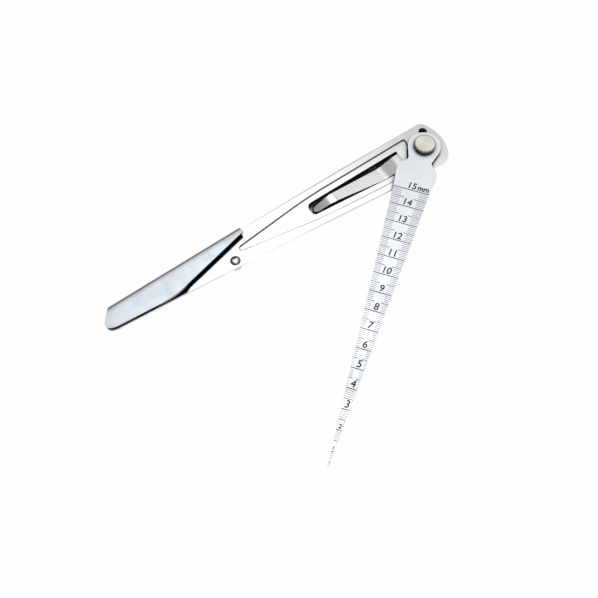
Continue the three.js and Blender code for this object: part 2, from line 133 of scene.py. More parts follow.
class ScaleSizes(bpy.types.PropertyGroup):
    """Sizes of the blade's edges and graduations."""

    bevel: length("Broken edge", "Bevel along the blade's edges", 0.05 * MM)
    zero_run: length("Zero point", "From the pivot to where the wedge would end", 142.5 * MM)
    taper: count("Taper", "Length of blade for each length of width", 8)
    readings: count("Readings", "Numbered lines on the blade", 15)
    fine_below: count("Fine below", "Below this reading the fine lines cross the blade", 4)
    short_below: count("Short below", "Below this reading lines beside a number are short", 6)
    last_tenth: count("Last tenth", "Smallest tenth that has a line", 4)
    line: length("Line", "Width of a numbered line", 0.34 * MM)
    half_line: length("Half line", "Width of a line between two numbers", 0.26 * MM)
    tick: length("Tick", "Width of a fine line", 0.16 * MM)
    edge: length("Edge", "Bare metal between a line's end and the blade's edge", 0.05 * MM)
    tick_share: share("Tick reach", "Where a fine line ends, as a share of half the width", 0.49)
    small_share: share("Short reach", "The same for the short lines beside a number", 0.76)
    half_gap: share("Half line's gap", "Bare middle of a half line, as a share of the width", 0.28)
    ink: length("Ink", "How far the marks stand over the steel", 0.012 * MM)
    root: length("Root", "How far the marks reach into the steel", 0.02 * MM)


class NumberSizes(bpy.types.PropertyGroup):
    """Sizes of the numbers on the blade."""

    height: length("Height", "Height of the numbers from 3 up", 3.05 * MM)
    height_two: length("Height of 2", "Height of the number 2", 1.85 * MM)
    height_one: length("Height of 1", "Height of the number 1", 1.5 * MM)
    above: length("Above the line", "From a line to the number on it", 0.4 * MM)
    aside: length("Aside", "How far the numbers stand to the right of the middle", 0.2 * MM)
    unit_start: length("Unit's start", "From the blade's middle to the unit", 2.3 * MM)
    unit_end: length("Unit's end", "From the blade's middle to the unit's far end", 7.1 * MM)
    unit_height: length("Unit's height", "Height of the unit's letters", 1.9 * MM)
    narrow: share("Narrow", "Width of the numbers against the plain font", 0.95)
    weight: share("Weight", "Growth of the strokes", 0.018)
    small_weight: share("Small weight", "Growth of the strokes of 1, 2 and the unit", 0.034)
    block: share("Block", "Thickness of the letters before they are flattened", 0.3)
    lean: share("Lean", "How far the numbers lean", 0.1)


class ScrewSizes(bpy.types.PropertyGroup):
    """Sizes of the thumb screw."""

    teeth: count("Teeth", "Teeth of the knurl", 42)
    height: length("Height", "Height of the head", 1.5 * MM)
    tooth: length("Tooth", "Depth of the knurl", 0.22 * MM)
    flank: share("Flank", "Depth halfway down a tooth's flank, as a share of the tooth", 0.35)
    chamfer: length("Chamfer", "Chamfer of the head", 0.08 * MM)
    bevel: length("Broken edge", "Bevel along the head's edges", 0.03 * MM)
    rim: length("Rim", "Width of the flat rim round the face", 0.4 * MM)
    dish: length("Dish", "Depth of the turned face", 0.06 * MM)
    shank: length("Shank", "Radius of the shank", 1.5 * MM)
    lead: length("Lead", "Taper at the shank's end", 0.25 * MM)


class HandleSizes(bpy.types.PropertyGroup):
    """Levels and limits of the handle's surfaces."""

    sheet_back: length("Sheet's back", "Height of the sheet's back", 0.82 * MM)
    sheet_face: length("Sheet's face", "Height of the sheet's upper face", 1.62 * MM)
    press: length("Press", "Depth of the pressed panel", 0.6 * MM)
    press_round: length("Press rounding", "Rounding along the panel's lower wall", 0.2 * MM)
    upper_round: share("Upper rounding", "The same along the upper wall, as a share", 0.45)
    guard_start: length("Guard's start", "From the pivot to the guard's point", 85.0 * MM)
    # Painted shade: beyond this the sheet's upright edge takes the nearly black edge colour, for
    # the shade along the guard
    dark_start: length("Dark edge", "From the pivot to where the sheet's edge is dark", 116.0 * MM)
    guard_depth: length("Guard's depth", "From the handle's top to the guard's back", 1.4 * MM)
    fold_start: length("Fold's start", "How far out the fold begins to turn", 8.2 * MM)
    fold_slope: share("Fold's slope", "How far the fold closes in for each length", 0.0237)
    fold_shade: length("Fold's shade", "Where the shade along the fold begins", 9.3 * MM)
    fold_dark: length("Fold's dark", "Where the shade along the fold is full", 11.8 * MM)
    # Painted shade: between these places the clip's root and tip are painted darker, for facets
    # that turn away from the light
    root_dull: length("Dull root", "From the pivot to where the clip's root is dull", 19.0 * MM)
    root_clear: length("Root's end", "From the pivot to where the clip's root ends", 23.0 * MM)
    tip_clear: length("Tip's start", "From the pivot to where the clip's tip begins", 47.0 * MM)
    tip_dull: length("Dull tip", "From the pivot to where the clip's tip is dull", 50.0 * MM)
    hole: spot("Hole", "Middle of the lanyard hole", (4.75 * MM, 6.95 * MM))
    hole_radius: length("Hole's radius", "Radius of the lanyard hole", 1.8 * MM)
    window_start: length("Window's start", "From the pivot to the window", 10.4 * MM)
    window_end: length("Window's end", "From the pivot to the window's far end", 56.6 * MM)
    window_upper: length("Window's upper edge", "Highest place of the window", 5.6 * MM)
    window_lower: length("Window's lower edge", "Depth of the window's lower edge", 4.3 * MM)
    panel_head: spot("Panel's head", "Middle of the panel beside the pivot", (-9.0 * MM, 0.8 * MM))
    panel_tip: spot("Panel's tip", "Middle of the round at its tip", (-88.9 * MM, 2.7 * MM))


class RivetSizes(bpy.types.PropertyGroup):
    """Sizes of the catch rivet."""

    shank: length("Shank", "Radius of the shank through the sheet", 1.1 * MM)
    tail: length("Upset end", "Radius of the upset end behind", 1.7 * MM)
    tail_height: length("End's height", "Height of the upset end", 0.4 * MM)
    sheet_face: length("Sheet's face", "Height of the sheet's upper face", 1.64 * MM)


class SteelLooks(bpy.types.PropertyGroup):
    """Colours and finishes of the steel."""

    plate: colour("Pressed sheet", "Polished sheet of the handle", (0.87, 0.88, 0.88))
    plate_rough: share("Sheet's roughness", "Roughness of the polished sheet", 0.08)
    # Painted shade: the panel's wall is painted nearly black, standing in for the dark reflection
    # of its slope
    wall: colour("Pressed wall", "Burnished wall of the pressed panel", (0.13, 0.13, 0.13))
    guard: colour("Guard", "Satin skin of the tip guard", (0.6, 0.645, 0.69))
    guard_rough: share("Guard's roughness", "Roughness of the guard's skin", 0.3)
    clip: colour("Clip", "Brushed pocket clip", (0.8, 0.8, 0.785))
    clip_rough: share("Clip's roughness", "Roughness of the clip", 0.28)
    # Painted shade at the clip's root and tip, against its middle
    clip_root: share("Clip's root", "Tone of the clip's root against its middle", 0.62)
    clip_tip: share("Clip's tip", "Tone of the clip's tip against its middle", 0.74)
    # Painted shade: the guard's skin is painted darker along the fold, standing in for the darker
    # reflection on its curve
    fold: share("Fold", "Tone of the fold against the guard's skin", 0.4)
    # Painted shade: how dark steel is painted where another surface lies close over it, and how
    # near that surface must be
    crevice: share("Crevices", "Tone left where another surface lies close", 0.04)
    crevice_reach: length("Crevices' reach", "How near that surface is", 4.0 * MM)
    # Partly real and partly painted shade: sheared edges are rough, and are painted nearly black
    # for the shade in the gaps beside them
    cut: colour("Cut edge", "Sheared edges of the sheet", (0.04, 0.04, 0.042))
    cut_rough: share("Edge's roughness", "Roughness of the sheared edges", 0.42)
    blade: colour("Blade", "Satin steel of the wedge", (0.76, 0.79, 0.83))
    blade_rough: share("Blade's roughness", "Roughness of the wedge", 0.36)
    screw: colour("Screw", "Turned face of the thumb screw", (0.73, 0.71, 0.64))
    screw_rough: share("Screw's roughness", "Roughness of the thumb screw", 0.3)
    turning: share("Turning", "How far the turned face stretches its shine", 0.6)
    # Painted shade: the knurl and the flat rim round the face are painted darker than the face
    knurl: share("Knurl", "Tone of the knurl and its rim against the face", 0.42)
    turned: colour("Turned steel", "Pivot bush", (0.6, 0.6, 0.58))
    turned_rough: share("Turning's roughness", "Roughness of the bush and washers", 0.32)
    ground: share("Washers", "Tone of the washers against the bush", 0.8)
    # Painted highlight and shade: the dome's colour is lightened at its crown and darkened at its
    # rim, standing in for its reflection
    chrome: colour("Chrome", "Dome between its dull rim and rubbed crown", (0.5, 0.5, 0.49))
    chrome_rough: share("Chrome's roughness", "Roughness of the dome", 0.08)
    crown: share("Crown", "How much the dome's crown and rim differ from its colour", 0.75)
    mark: colour("Marks", "Etched and blackened graduations", (0.012, 0.012, 0.014))


class StageSizes(bpy.types.PropertyGroup):
    """Camera, floor, softbox and the level of the studio."""

    camera: spot("Camera", "Place of the camera", (-149.1 * MM, -124.65 * MM, 271.05 * MM))
    aim: spot("Aim", "Point that the camera looks at", (-82.5 * MM, -28.64 * MM, 3.16 * MM))
    roll: FloatProperty(
        name="Roll", description="Turn of the camera about its view", subtype="ANGLE",
        default=math.radians(0.826),
    )
    lens: FloatProperty(
        name="Lens", description="Focal length in millimetres", default=46.19, unit="CAMERA"
    )
    floor: length("Floor", "Side of the floor", 6.0)
    floor_gap: length("Floor's gap", "Between the gauge's lowest point and the floor", 0.02 * MM)
    glow: share("Glow", "How far the floor glows white to the eye and in the metal", 0.98)
    # Painted shadow on the floor: its glow fades where the gauge closes it off
    shade_reach: length("Shade's reach", "How far from the gauge the floor is shaded", 3.0 * MM)
    closed: share("Closed off", "Openness up to which the floor is black", 0.85)
    opened: share("Open", "Openness from which it is white", 0.98)
    # A painted shadow spot: a fixed dark disc on the floor under the lanyard hole
    hole_shade: spot("Hole's shade", "Middle of the floor under the hole", (6.7 * MM, 8.6 * MM))
    hole_dark: length("Hole's dark", "Radius within which that floor is black", 2.08 * MM)
    hole_clear: length("Hole's clear", "Radius from which it is white", 2.6 * MM)
    lamp: spot("Softbox", "Place of the softbox", (0.25, 0.55, 2.0))
    lamp_size: spot("Softbox's size", "Width and depth of the softbox", (0.6, 0.7))
    level: FloatProperty(name="Level", description="Brightness of softbox and studio", default=1.17)


GROUPS = {
    "gauge_scale": ScaleSizes,
    "gauge_numbers": NumberSizes,
    "gauge_screw": ScrewSizes,
    "gauge_handle": HandleSizes,
    "gauge_rivet": RivetSizes,
    "gauge_looks": SteelLooks,
    "gauge_stage": StageSizes,
}


# Modelling helpers

def activate(piece):
    """Makes piece the only selected object, in object mode."""
    bpy.ops.object.select_all(action="DESELECT")
    piece.select_set(True)
    bpy.context.view_layer.objects.active = piece


def edit(piece):
    """Opens piece in edit mode with nothing selected, points first."""
    activate(piece)
    bpy.ops.object.mode_set(mode="EDIT")
    bpy.ops.mesh.select_mode(type="VERT")
    bpy.ops.mesh.select_all(action="DESELECT")


def choose(piece, kind, test):
    """Selects the verts, edges or faces of a piece in edit mode that pass test."""
    bpy.ops.mesh.select_all(action="DESELECT")
    bpy.ops.mesh.select_mode(type={"verts": "VERT", "edges": "EDGE", "faces": "FACE"}[kind])
    mesh = bmesh.from_edit_mesh(piece.data)
    found = 0
    for element in getattr(mesh, kind):
        if test(element):
            element.select_set(True)
            found += 1
    bmesh.update_edit_mesh(piece.data)
    if not found:
        raise RuntimeError(f"nothing to select on {piece.name}")


def apply_modifier(piece, kind, **settings):
    """Adds a modifier with the given settings and applies it."""
    activate(piece)
    modifier = piece.modifiers.new(kind, kind)
    for key, value in settings.items():
        setattr(modifier, key, value)
    bpy.ops.object.modifier_apply(modifier=modifier.name)


def bevel(piece, width, **settings):
    """Rounds the edges of a piece that the settings pick."""
    apply_modifier(piece, "BEVEL", width=width, loop_slide=False, **settings)


def close_up():
    """Joins doubled points, turns the faces outwards and leaves edit mode."""
    bpy.ops.mesh.select_all(action="SELECT")
    bpy.ops.mesh.remove_doubles(threshold=MERGE)
    bpy.ops.mesh.normals_make_consistent(inside=False)
    bpy.ops.object.mode_set(mode="OBJECT")


def named(name):
    """The object just made, under this name."""
    piece = bpy.context.object
    piece.name = piece.data.name = name
    return piece


def smooth(piece, degrees):
    """Shades faces that meet at less than this angle as one round surface."""
    activate(piece)
    bpy.ops.object.shade_smooth_by_angle(angle=math.radians(degrees))
    apply_modifier(piece, "WEIGHTED_NORMAL", keep_sharp=True, weight=50)


def cad_copy(node, name):
    """A copy of a CAD node with its points joined and its flat faces whole."""
    piece = bpy.data.objects.new(name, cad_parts[node].data.copy())
    bpy.context.scene.collection.objects.link(piece)
    piece.data.materials.clear()
    edit(piece)
    bpy.ops.mesh.select_all(action="SELECT")
    bpy.ops.mesh.remove_doubles(threshold=MERGE)
    bpy.ops.mesh.customdata_custom_splitnormals_clear()
    bpy.ops.mesh.dissolve_limited(angle_limit=math.radians(0.5))
    bpy.ops.object.mode_set(mode="OBJECT")
    return piece


def bounds_flat(edge):
    """Whether an edge lies between a level face and one that isn't level."""
    return sum(abs(face.normal.z) > LEVEL for face in edge.link_faces) == 1


def join(name, pieces):
    """Joins pieces into one, under a new name."""
    activate(pieces[0])
    for piece in pieces:
        piece.select_set(True)
    bpy.ops.object.join()
    return named(name)


def blade_turn():
    """Turns blade coordinates, X from the pivot to the tip, into the frame of the part."""
    points = [v.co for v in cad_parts["gauge_blade"].data.vertices]
    reach = max(p.xy.length for p in points)
    tip = sum((p.xy for p in points if p.xy.length > reach - TOUCH), Vector((0, 0)))
    return Matrix.Rotation(math.atan2(tip.y, tip.x), 4, "Z")


# Effects shared by the finishes

def new_group(name, inputs, outputs):
    """An empty node group that takes a place and the given inputs and puts out values."""
    group = bpy.data.node_groups.new(name, "ShaderNodeTree")
    for label, value in {"Vector": (0, 0, 0), **inputs}.items():
        kind = "Float" if isinstance(value, float) else "Vector"
        socket = group.interface.new_socket(label, in_out="INPUT", socket_type=f"NodeSocket{kind}")
        socket.default_value = value
    for label in outputs:
        group.interface.new_socket(label, in_out="OUTPUT", socket_type="NodeSocketFloat")
    given = group.nodes.new("NodeGroupInput")
    return group, given.outputs, group.nodes.new("NodeGroupOutput")


def fill(tree, node, links):
    """Links a node's inputs to sockets, or sets them to plain values."""
    for key, source in links.items():
        if isinstance(source, bpy.types.NodeSocket):
            tree.links.new(source, node.inputs[key])
        else:
            node.inputs[key].default_value = source


def add_node(tree, kind, links=None, **settings):
    """A node of this kind, with its settings made and its inputs linked or filled in."""
    made = tree.nodes.new(f"ShaderNode{kind}")
    for key, value in settings.items():
        setattr(made, key, value)
    fill(tree, made, links or {})
    return made


def spread(tree, source, low, high, to_low=0.0, to_high=1.0):
    """Stretches a value from low..high to another range."""
    return add_node(tree, "MapRange", {
        "Value": source, "From Min": low, "From Max": high, "To Min": to_low, "To Max": to_high,
    }).outputs["Result"]


def combine(tree, kind, first, second):
    """The sum, product or the like of two values."""
    return add_node(tree, "Math", {0: first, 1: second}, operation=kind).outputs[0]


def stretch(tree, vector, shares):
    """A vector stretched along each axis."""
    return add_node(tree, "VectorMath", {0: vector, 1: shares}, operation="MULTIPLY").outputs[0]


def off_axis(tree, vector):
    """How far a place lies from the Z axis."""
    flat = stretch(tree, vector, (1, 1, 0))
    return add_node(tree, "VectorMath", {0: flat}, operation="LENGTH").outputs["Value"]


def noise(tree, vector, scale, detail, **more):
    """The value of a noise at a place."""
    links = {"Vector": vector, "Scale": scale, "Detail": detail, **more}
    return add_node(tree, "TexNoise", links).outputs["Fac"]


def blend(tree, mask, bare, covered):
    """A colour that goes from bare to covered as the mask rises."""
    links = {"Factor": mask, 6: bare, 7: covered}
    return add_node(tree, "Mix", links, data_type="RGBA").outputs[2]


# Where an effect's mask goes from none to full: values of its noise, or as said beside it
STREAKS = (0.35, 0.65)
BLOTCHES = (0.3, 0.7)
SMUDGES = (0.4, 0.65)
HAIRLINES = (0.66, 0.7)
EDGES = (0.52, 0.6)  # pointiness
# Where the dome's painted highlight fades into its painted dark rim, and how far its blotches move
# that edge
CROWN = (1.5, 0.7)  # millimetres from the axis
CROWN_WANDER = (-0.5, 0.5)  # millimetres by which the blotches move the crown's edge
# Openness at which the painted shade under close surfaces is full and none, and how far its
# blotches move it
CLOSE_SHADE_OPENNESS = (0.8, 0.5)  # openness
CLOSE_SHADE_WANDER = (-0.02, 0.02)  # openness that the blotches take or give
HAIR_STRETCH = (0.05, 1.4, 1.0)  # shares that draw the hairlines out along the handle


def brushed_group():
    """Long fine scratches of brushing, as a height and a mask."""
    inputs = {"Stretch": (1, 1, 1), "Scale": 1.0}
    tree, given, out = new_group("brushed", inputs, ["Height", "Mask"])
    place = stretch(tree, given["Vector"], given["Stretch"])
    lines = noise(tree, place, given["Scale"], detail=4.0)
    fill(tree, out, {"Height": lines, "Mask": spread(tree, lines, *STREAKS)})


def satin_group():
    """Fine grit of blasted or satin steel, as a height and a speckle mask."""
    tree, given, out = new_group("satin", {"Scale": 1.0}, ["Height", "Mask"])
    grit = noise(tree, given["Vector"], given["Scale"], detail=3.0, Roughness=0.6)
    fill(tree, out, {"Height": grit, "Mask": spread(tree, grit, *BLOTCHES)})


def rings_group():
    """Fine rings left by turning round the Z axis, as a height and a mask."""
    tree, given, out = new_group("rings", {"Rings": 1.0}, ["Height", "Mask"])
    links = {"W": off_axis(tree, given["Vector"]), "Scale": given["Rings"], "Detail": 2.0}
    wave = add_node(tree, "TexNoise", links, noise_dimensions="1D").outputs["Fac"]
    fill(tree, out, {"Height": wave, "Mask": spread(tree, wave, *STREAKS)})


def crown_group():
    """A painted highlight on the crown, with a blotchy edge, over a painted dark rim round the Z
    axis.
    """
    tree, given, out = new_group("crown", {}, ["Height", "Mask"])
    radius = off_axis(tree, given["Vector"])
    blotch = noise(tree, given["Vector"], scale=0.9, detail=2.0)
    uneven = combine(tree, "ADD", radius, spread(tree, blotch, *BLOTCHES, *CROWN_WANDER))
    fill(tree, out, {"Height": blotch, "Mask": spread(tree, uneven, *CROWN)})


def handling_group():
    """Soft smudges and a few hairlines from pocket wear, as two masks."""
    tree, given, out = new_group("handling", {}, ["Smudge", "Hairline"])
    cloud = noise(tree, given["Vector"], scale=0.12, detail=3.0)
    hair = noise(tree, stretch(tree, given["Vector"], HAIR_STRETCH), scale=1.6, detail=5.0)
    fill(tree, out, {
        "Smudge": spread(tree, cloud, *SMUDGES), "Hairline": spread(tree, hair, *HAIRLINES),
    })


def wear_group():
    """Metal rubbed bright on outer edges, as a mask."""
    tree, given, out = new_group("wear", {}, ["Mask"])
    edge = spread(tree, add_node(tree, "NewGeometry").outputs["Pointiness"], *EDGES)
    patch = noise(tree, given["Vector"], scale=1.5, detail=2.0)
    fill(tree, out, {"Mask": combine(tree, "MULTIPLY", edge, patch)})


def crevice_group():
    """Painted shade from ambient occlusion, darkening metal where another surface lies close over
    it, as a mask.
    """
    tree, given, out = new_group("crevice", {"Reach": MM}, ["Mask"])
    near = add_node(tree, "AmbientOcclusion", {"Distance": given["Reach"]}, samples=8)
    patch = noise(tree, given["Vector"], scale=0.8, detail=1.0)
    wander = spread(tree, patch, *BLOTCHES, *CLOSE_SHADE_WANDER)
    uneven = combine(tree, "ADD", near.outputs["AO"], wander)
    fill(tree, out, {"Mask": spread(tree, uneven, *CLOSE_SHADE_OPENNESS)})


def band_group():
    """A soft band that rises towards a line and stays full beyond it, as a mask."""
    inputs = {"Across": (0, 1, 0), "Start": 0.0, "End": 1.0}
    tree, given, out = new_group("band", inputs, ["Mask"])
    links = {0: given["Vector"], 1: given["Across"]}
    place = add_node(tree, "VectorMath", links, operation="DOT_PRODUCT").outputs["Value"]
    fill(tree, out, {"Mask": spread(tree, place, given["Start"], given["End"])})


EFFECTS = {
    "brushed": brushed_group,
    "satin": satin_group,
    "rings": rings_group,
    "crown": crown_group,
    "handling": handling_group,
    "wear": wear_group,
    "crevice": crevice_group,
    "band": band_group,
}


def effect(tree, name, links):
    """The outputs of a shared effect placed in a material, which is built the first time."""
    if name not in bpy.data.node_groups:
        EFFECTS[name]()
    return add_node(tree, "Group", links, node_tree=bpy.data.node_groups[name]).outputs


def millimetres(tree, turn=0.0, centre=(0, 0, 0)):
    """Object coordinates in millimetres from centre, turned about Z."""
    place = add_node(tree, "TexCoord").outputs["Object"]
    moved = add_node(tree, "Mapping", {
        "Vector": place, "Location": [-c / MM for c in centre], "Scale": (1 / MM, 1 / MM, 1 / MM),
    }).outputs["Vector"]
    turned = add_node(tree, "Mapping", {"Vector": moved, "Rotation": (0, 0, turn)})
    return turned.outputs["Vector"]


def new_material(name):
    """A material with its node tree and the node of its surface."""
    material = bpy.data.materials.new(name)
    material.use_nodes = True
    return material, material.node_tree, material.node_tree.nodes["Principled BSDF"]


def toned(tone, times):
    """A tone made lighter or darker, for a colour input."""
    return [min(1.0, c * times) for c in tone] + [1.0]


def steel(name, tone, roughness, grain, grain_inputs, shade=0.06, rough_spread=0.05, bump=0.05,
          turn=0.0, centre=(0, 0, 0), painted_shades=()):
    """A steel finish: grain for its height and shade, smudges and hairlines for its roughness.

    Each entry of the last argument is a painted shade: an effect, its inputs and the share of the
    tone left where it is full.
    """
    material, tree, surface = new_material(name)
    place = {"Vector": millimetres(tree, turn, centre)}
    texture = effect(tree, grain, {**place, **grain_inputs})
    handling = effect(tree, "handling", place)
    base = blend(tree, texture["Mask"], toned(tone, 1 - shade), toned(tone, 1 + shade))
    base = blend(tree, effect(tree, "wear", place)["Mask"], base, toned(tone, WORN))
    for mask, inputs, left in painted_shades:
        base = blend(tree, effect(tree, mask, {**place, **inputs})["Mask"], base, toned(tone, left))
    smudged = spread(
        tree, handling["Smudge"], 0, 1, roughness - rough_spread, roughness + rough_spread
    )
    scratched = spread(tree, handling["Hairline"], 0, 1, 0, rough_spread)
    fill(tree, surface, {
        "Metallic": 1.0, "Base Color": base, "Roughness": combine(tree, "ADD", scratched, smudged),
    })
    if bump:
        bumped = add_node(tree, "Bump", {
            "Height": texture["Height"], "Strength": bump, "Distance": GRAIN_DEPTH,
        })
        tree.links.new(bumped.outputs["Normal"], surface.inputs["Normal"])
    return material


def crevices(looks):
    """Painted shade that darkens steel where another surface lies close over it."""
    return ("crevice", {"Reach": looks.crevice_reach}, looks.crevice)


def band(across, start, end, left):
    """Painted shade that darkens steel from one distance along across to another, and beyond it."""
    return ("band", {"Across": across, "Start": start / MM, "End": end / MM}, left)


def mark_material(tone):
    """Blackened etching: dull, with a slight mottle."""
    material, tree, surface = new_material("etched_black")
    grit = effect(tree, "satin", {"Vector": millimetres(tree), "Scale": 6.0})["Mask"]
    fill(tree, surface, {
        "Base Color": blend(tree, grit, toned(tone, 1), toned(tone, 2)),
        "Roughness": spread(tree, grit, 0, 1, *MARK_ROUGH),
    })
    return material


def paint(piece, materials, pick):
    """Gives the piece its materials, and each face the one that pick names."""
    piece.data.materials.clear()
    names = list(materials)
    for name in names:
        piece.data.materials.append(materials[name])
    for face in piece.data.polygons:
        face.material_index = names.index(pick(face))


class GAUGE_OT_handle(bpy.types.Operator):
    """Pressed and folded handle with its clip and tip guard"""

    bl_idname = "gauge.handle"
    bl_label = "Handle"

    def execute(self, context):
        looks = context.scene.gauge_looks
        sizes = context.scene.gauge_handle
        sheet = cad_copy("handle", "pressed_handle")
        panel_floor = sizes.sheet_face - sizes.press
        panel_back = sizes.sheet_back - sizes.press
        guard_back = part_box("handle")[1].z - sizes.guard_depth
        panel_start = Vector(sizes.panel_head)
        panel_end = Vector(sizes.panel_tip)

        def at_press(edge):
            """Whether an edge runs along the top or the foot of the panel's sloping wall."""
            levels = (sizes.sheet_face, panel_floor)
            level = any(all(abs(v.co.z - z) < TOUCH for v in edge.verts) for z in levels)
            least, greatest = WALL_TURN
            return level and least < math.degrees(edge.calc_face_angle(0)) < greatest

        def above_panel(edge):
            """Whether the wall at this edge looks down from the panel's upper side."""
            return min(edge.link_faces, key=lambda f: f.normal.z).normal.y < 0

        edit(sheet)
        choose(sheet, "edges", lambda e: at_press(e) and above_panel(e))
        bpy.ops.transform.edge_bevelweight(value=sizes.upper_round)
        choose(sheet, "edges", lambda e: at_press(e) and not above_panel(e))
        bpy.ops.transform.edge_bevelweight(value=1)
        bpy.ops.object.mode_set(mode="OBJECT")
        bevel(sheet, sizes.press_round, segments=3, limit_method="WEIGHT")
        edit(sheet)
        choose(sheet, "edges", lambda e: bounds_flat(e) and e.verts[0].co.z < guard_back)
        bpy.ops.mesh.mark_sharp()
        bpy.ops.object.mode_set(mode="OBJECT")
        smooth(sheet, 50)
        # Painted shade along the guard's fold, where its curve turns away from the light
        across = (-sizes.fold_slope, 1, 0)
        fold = band(across, sizes.fold_shade, sizes.fold_dark, looks.fold)
        # Painted shade at the clip's root and tip
        root = band((1, 0, 0), -sizes.root_clear, -sizes.root_dull, looks.clip_root)
        tip = band((-1, 0, 0), sizes.tip_clear, sizes.tip_dull, looks.clip_tip)
        # Painted shade darkens the plate and guard where another surface lies close over them
        materials = {
            "plate": steel("polished_sheet", looks.plate, looks.plate_rough, "brushed",
                           {"Stretch": (0.02, 1, 1), "Scale": 4.0}, shade=0.02, rough_spread=0.02,
                           bump=0.006, painted_shades=[crevices(looks)]),
            # The panel's wall carries painted shade in its nearly black tone
            "wall": steel("pressed_wall", looks.wall, looks.cut_rough, "brushed",
                          {"Stretch": (0.05, 1, 1), "Scale": 4.0}, bump=0.1),
            "guard": steel("satin_guard", looks.guard, looks.guard_rough, "satin",
                           {"Scale": 2.2}, shade=0.09, bump=0.4, painted_shades=[fold, crevices(looks)]),
            "clip": steel("brushed_clip", looks.clip, looks.clip_rough, "satin",
                          {"Scale": 2.4}, shade=0.1, bump=0.3, painted_shades=[root, tip]),
            "cut": steel("sheared_edge", looks.cut, looks.cut_rough, "brushed",
                         {"Stretch": (1, 1, 0.1), "Scale": 6.0}, shade=0.1, bump=0.2),
        }

        def faces_panel(face):
            """Whether a sloping face looks towards the panel's middle line."""
            _, along = intersect_point_line(face.center.xy, panel_start, panel_end)
            middle = panel_start.lerp(panel_end, min(1, max(0, along)))
            return face.normal.xy.dot(middle - face.center.xy) > 0

        def zone(face):
            """The finish of a face, by its place and the way it looks."""
            x, y, z = face.center
            upright = abs(face.normal.z) < UPRIGHT
            if x < -sizes.guard_start + 2 * TOUCH:
                folded = y > sizes.fold_start and abs(face.normal.z) < LEVEL
                # The guard's upright edges take the nearly black edge colour, painted shade for the
                # gap under it
                if z > guard_back or folded:
                    return "guard" if folded or not upright else "cut"
                # Beyond the dark edge's start the sheet's upright edge is painted nearly black as
                # shade
                return "cut" if upright and x < -sizes.dark_start else "plate"
            in_window = (
                -sizes.window_end < x < -sizes.window_start
                and -sizes.window_lower < y < sizes.window_upper
            )
            if in_window:
                # The window's upright edges take the nearly black edge colour, painted shade for
                # the dark slots
                if upright:
                    return "cut"
                bent = z < panel_floor and abs(face.normal.x) > BENT
                return "clip" if bent or z < panel_back - TOUCH else "plate"
            off_hole = (face.center.xy - Vector(sizes.hole)).length
            # The lanyard hole's wall too takes the nearly black edge colour, painted shade
            if upright and off_hole < sizes.hole_radius + TOUCH:
                return "cut"
            sloping = UPRIGHT < face.normal.z < LEVEL and panel_floor - TOUCH < z < sizes.sheet_face
            return "wall" if sloping and faces_panel(face) else "plate"

        paint(sheet, materials, zone)
        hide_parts("handle")
        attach(sheet, "handle")
        return {"FINISHED"}


class GAUGE_OT_turned(bpy.types.Operator):
    """Pivot bush, friction washer and spring washer"""

    bl_idname = "gauge.turned"
    bl_label = "Bush and washers"

    def execute(self, context):
        looks = context.scene.gauge_looks
        rings = {"Rings": 5.0}
        turned = steel("turned_steel", looks.turned, looks.turned_rough, "rings", rings, bump=0.15)
        dull = [c * looks.ground for c in looks.turned]
        ground = steel("ground_steel", dull, looks.turned_rough, "satin", {"Scale": 5.0}, bump=0.1)
        pieces = {
            "pivot_bush": ("turned_bush", turned, "bush_steel"),
            "friction_washer": ("flat_washer", ground, "washer_steel"),
            "spring_washer": ("wave_washer", ground, "spring_steel"),
        }
        for node, (name, material, slot) in pieces.items():
            piece = cad_copy(node, name)
            smooth(piece, 30)
            paint(piece, {"steel": material}, lambda face: "steel")
            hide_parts(node)
            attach(piece, "handle")
        return {"FINISHED"}


class GAUGE_OT_blade(bpy.types.Operator):
    """Graduated wedge without its marks"""

    bl_idname = "gauge.blade"
    bl_label = "Blade"

    def execute(self, context):
        looks = context.scene.gauge_looks
        blade = cad_copy("gauge_blade", "wedge_blade")
        broken = context.scene.gauge_scale.bevel
        bevel(blade, broken, segments=2, limit_method="ANGLE", angle_limit=math.radians(50))
        smooth(blade, 40)
        turn = -blade_turn().to_euler().z
        # Painted shade darkens the blade where another surface lies close over it
        satin = steel("satin_blade", looks.blade, looks.blade_rough, "satin", {"Scale": 2.6},
                      shade=0.055, bump=0.3, turn=turn, painted_shades=[crevices(looks)])
        # The blade's upright sides take the nearly black edge colour, painted shade for the dark
        # gap under it
        sides = steel("blade_side", looks.cut, looks.cut_rough, "satin", {"Scale": 6.0}, shade=0.1)
        paint(blade, {"steel": satin, "sides": sides},
              lambda face: "sides" if abs(face.normal.z) < UPRIGHT else "steel")
        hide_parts("gauge_blade")
        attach(blade, "blade")
        return {"FINISHED"}


